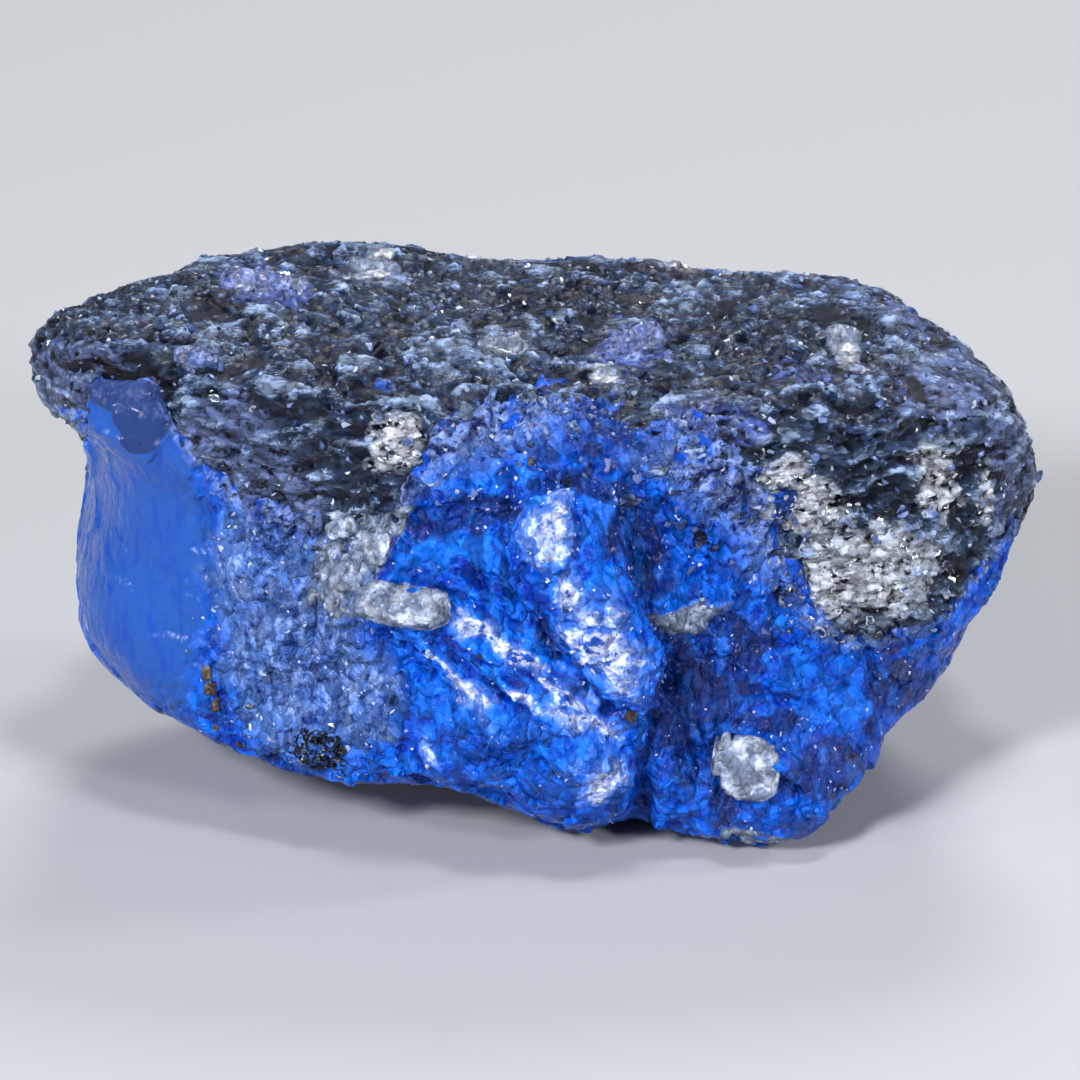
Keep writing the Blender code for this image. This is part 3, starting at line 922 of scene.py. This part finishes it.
def lumps(name, spots, seed):
    """One mesh of rounded blocky grains, each given like a spot with its half height in millimetres."""
    ball = bmesh.new()
    bmesh.ops.create_icosphere(ball, subdivisions=LUMP_SUBDIVISIONS, radius=1.0)
    ball_points = np.array([vertex.co for vertex in ball.verts])
    ball_faces = np.array([[vertex.index for vertex in face.verts] for face in ball.faces])
    ball.free()
    block = ball_points / (np.abs(ball_points) ** BLOCKINESS).sum(axis=1)[:, None] ** (1 / BLOCKINESS)
    points, faces = [], []
    for number, (x, y, half_long, half_wide, turn, height) in enumerate(spots):
        place, facing = in_stone(x, y)
        up = facing + LUMP_LEAN * towards_lens
        up /= np.linalg.norm(up)
        turn = math.radians(turn)
        long_way = np.array([math.cos(turn), 0.0, 0.0]) - math.sin(turn) * picture_up
        long_way -= (long_way @ up) * up
        long_way /= np.linalg.norm(long_way)
        size = np.array([half_long / PIXELS_PER_MM, half_wide / PIXELS_PER_MM, height])
        axes = np.stack([long_way, np.cross(up, long_way), up])
        grain = place - LUMP_SUNK * height * up + (block * size) @ axes
        uneven = 0.9 * chips(grain, 2.4, seed=seed) + 0.35 * chips(grain, 8.0, seed=seed + 1)
        uneven += 0.6 * rough(grain, 3.0, 4, seed=seed + 2)
        outward = (ball_points / size) @ axes
        outward /= np.linalg.norm(outward, axis=1)[:, None]
        points.append(grain + outward * (uneven * LUMP_UNEVENNESS * size.min())[:, None])
        faces.append(ball_faces + number * len(ball_points))
    return finish_mesh(name, np.concatenate(points), np.concatenate(faces).tolist(), {})


CALCITE_LUMPS = [
    (402, 603, 46, 19, 7, 0.14), (345, 576, 18, 16, 0, 0.08), (374, 548, 14, 16, 10, 0.07),
    (340, 528, 16, 10, -20, 0.05), (750, 770, 28, 30, 4, 0.17), (722, 752, 7, 24, 12, 0.17),
    (740, 746, 20, 7, 6, 0.14), (508, 346, 15, 8, 5, 0.07), (488, 344, 10, 7, 0, 0.06),
    (605, 375, 12, 8, 0, 0.07), (842, 342, 17, 17, 20, 0.12), (862, 371, 16, 5, 30, 0.07),
    (375, 268, 27, 12, 5, 0.08),
]
ZOISITE_LUMPS = [(265, 286, 46, 17, 8, 0.09), (633, 346, 34, 17, -25, 0.10), (196, 362, 22, 16, 0, 0.08)]
RUSTY_LUMPS = [
    (206, 672, 5, 9, -5, 0.04), (210, 688, 6, 8, 10, 0.05), (215, 705, 4, 7, 0, 0.04),
    (216, 727, 3, 4, 0, 0.02), (242, 745, 6, 3, 10, 0.02), (632, 715, 6, 7, 30, 0.03),
    (531, 462, 3, 4, 0, 0.02), (519, 465, 2, 3, 0, 0.02), (780, 293, 5, 3, 0, 0.03),
    (716, 385, 4, 3, 20, 0.03),
]
ZOISITE_COLOURS = ("#34487c", "#7888b8", "#1c2848")
KINDS = [
    ("calcite_crystals", CALCITE_LUMPS, "calcite", ("#64728c", "#d0daee", "#3c4864"), 0.08, CALCITE_IOR),
    ("zoisite_crystals_in_schist", ZOISITE_LUMPS, "tanzanite", ZOISITE_COLOURS, 0.08, ZOISITE_IOR),
    ("rust_stained_specks", RUSTY_LUMPS, "matrix", ("#2c2018", "#7a6048", "#0c0808"), 0.30, 1.55),
]
for number, (name, spots, slot, (ground, light, dark), roughness, ior) in enumerate(KINDS):
    grains = lumps(name, spots, 40 + 3 * number)
    # Broken across many small cleavages: cloudy, with bright and dark grains that glint
    material, tree, where = new_material(name + "_broken")
    layers = [(light, None, 6.0, EVEN, 0.46, 0.72), (dark, None, 12.0, EVEN, 0.60, 0.74)]
    colour, _ = layered(tree, where, ground, layers)
    reach, tone = granular(tree, where, 7.0, EVEN)
    # A random tone for each grain, and painted shade where the grains meet
    colour = grain_shaded(tree, colour, reach, tone, 0.60, 0.60, 1.40)
    fine = add_node(tree, "TexNoise", {"Vector": where, "Scale": 12.0, "Detail": 4.0})
    fine = add_node(tree, "Math", {0: fine, 1: reach}, operation="SUBTRACT")
    bump = add_node(tree, "Bump", {"Height": fine, "Strength": 1.0, "Distance": 0.06 * MM})
    look = {"Base Color": colour, "Roughness": roughness, "IOR": ior, "Normal": bump}
    add_node(tree, "OutputMaterial", {"Surface": add_node(tree, "BsdfPrincipled", look)})
    grains.data.materials.append(material)
    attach(grains, "root")


# The graphite inclusions: clusters and single scales of black graphite that the crystal grew round. Each
# cluster is its spot in the picture, the number of its scales, their least and most size in millimetres and
# their tilt.
INCLUSIONS = [
    ((320, 750, 24, 17, 0), 150, 0.02, 0.08, 0.9),
    ((303, 742, 9, 16, 40), 30, 0.02, 0.06, 0.9),
    ((338, 766, 8, 12, -30), 25, 0.02, 0.06, 0.9),
    ((852, 753, 13, 5, -35), 30, 0.02, 0.05, 0.5),
    ((788, 585, 7, 16, 10), 26, 0.02, 0.06, 0.6),
    ((785, 628, 9, 6, 20), 18, 0.02, 0.05, 0.6),
    ((93, 586, 3, 8, 0), 8, 0.02, 0.04, 0.15),
    ((95, 618, 3, 12, 8), 12, 0.02, 0.04, 0.15),
    ((177, 607, 2, 4, 0), 4, 0.02, 0.03, 0.15),
    ((217, 628, 3, 11, 15), 12, 0.02, 0.035, 0.2),
    ((228, 643, 3, 9, 10), 9, 0.02, 0.035, 0.2),
    ((240, 541, 3, 11, 10), 12, 0.02, 0.035, 0.2),
    ((247, 575, 2, 8, 10), 7, 0.02, 0.03, 0.2),
    ((300, 640, 4, 6, 0), 6, 0.02, 0.035, 0.4),
    ((348, 645, 3, 4, 0), 4, 0.02, 0.03, 0.4),
    ((400, 765, 3, 7, 10), 6, 0.02, 0.035, 0.4),
    ((512, 790, 5, 7, 30), 8, 0.02, 0.04, 0.4),
    ((435, 770, 10, 4, 10), 10, 0.02, 0.035, 0.4),
]
INCLUSION_TILT = 0.1
places, facings, sizes = [], [], []
for (middle_x, middle_y, half_long, half_wide, turn), how_many, least, most, tilt in INCLUSIONS:
    turn = math.radians(turn)
    for _ in range(how_many):
        angle, reach = chance.random() * math.tau, math.sqrt(chance.random())
        along, aside = reach * math.cos(angle) * half_long, reach * math.sin(angle) * half_wide
        x = middle_x + along * math.cos(turn) - aside * math.sin(turn)
        y = middle_y + along * math.sin(turn) + aside * math.cos(turn)
        place, facing = in_stone(x, y)
        facing = facing + tilt * chance.normal(size=3)
        places.append(place)
        facings.append(facing / np.linalg.norm(facing))
        sizes.append(chance.uniform(least, most) * np.ones(3))
points, faces, tones = joined(flake_shapes, places, facings, sizes, INCLUSION_TILT, chance)
inclusions = finish_mesh("graphite_inclusions", points, faces, tones, smooth=False)
inclusions.data.materials.append(grain_material("black_graphite_cleaved", "#020308", "#0c1220", 0.2, 1.6))
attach(inclusions, "root")


# The studio: a pale board painted matt, so that it shows the stone's shadow and mirrors nothing, and soft
# boxes all round that are small enough for every wet grain to glint.
BOARD_SIDE = 1.2
floor_mesh = bpy.data.meshes.new("pale_board")
board = bmesh.new()
bmesh.ops.create_grid(board, x_segments=1, y_segments=1, size=BOARD_SIDE / 2)
board.to_mesh(floor_mesh)
board.free()
floor = bpy.data.objects.new("pale_board", floor_mesh)
bpy.context.scene.collection.objects.link(floor)
board_material, tree, _ = new_material("matt_pale_board")
shader = add_node(tree, "BsdfDiffuse", {"Color": "#acadaf"})
add_node(tree, "OutputMaterial", {"Surface": shader})
floor_mesh.materials.append(board_material)

# Each light: name, place in millimetres, side of the square, and power in watts
LIGHTS = [
    ("soft_box_front_left", (-45, -80, 62), 17, 0.125),
    ("soft_box_front_right", (62, -75, 48), 14, 0.050),
    ("soft_box_low_left", (-92, -45, 24), 14, 0.030),
    ("soft_box_above", (8, -28, 108), 16, 0.045),
    ("soft_box_right", (96, 8, 52), 16, 0.035),
    ("soft_box_behind", (15, 75, 85), 36, 0.080),
]
for name, place, side, power in LIGHTS:
    lamp = bpy.data.lights.new(name, "AREA")
    lamp.size = side * MM
    lamp.energy = power
    lamp.color = linear("#fafbff")[:3]
    light = bpy.data.objects.new(name, lamp)
    light.location = Vector(place) * MM
    light.rotation_euler = (Vector(LOOKED_AT) - Vector(place)).to_track_quat("-Z", "Y").to_euler()
    bpy.context.scene.collection.objects.link(light)

ROOM_BRIGHTNESS = 0.10
room = bpy.data.worlds.new("studio_room")
room.use_nodes = True
walls = room.node_tree.nodes["Background"]
walls.inputs["Color"].default_value = linear("#cfd0d2")
walls.inputs["Strength"].default_value = ROOM_BRIGHTNESS
bpy.context.scene.world = room
bpy.context.scene.view_settings.view_transform = "Standard"
bpy.context.scene.cycles.use_light_tree = False  # picking each light by its power is quicker with only six
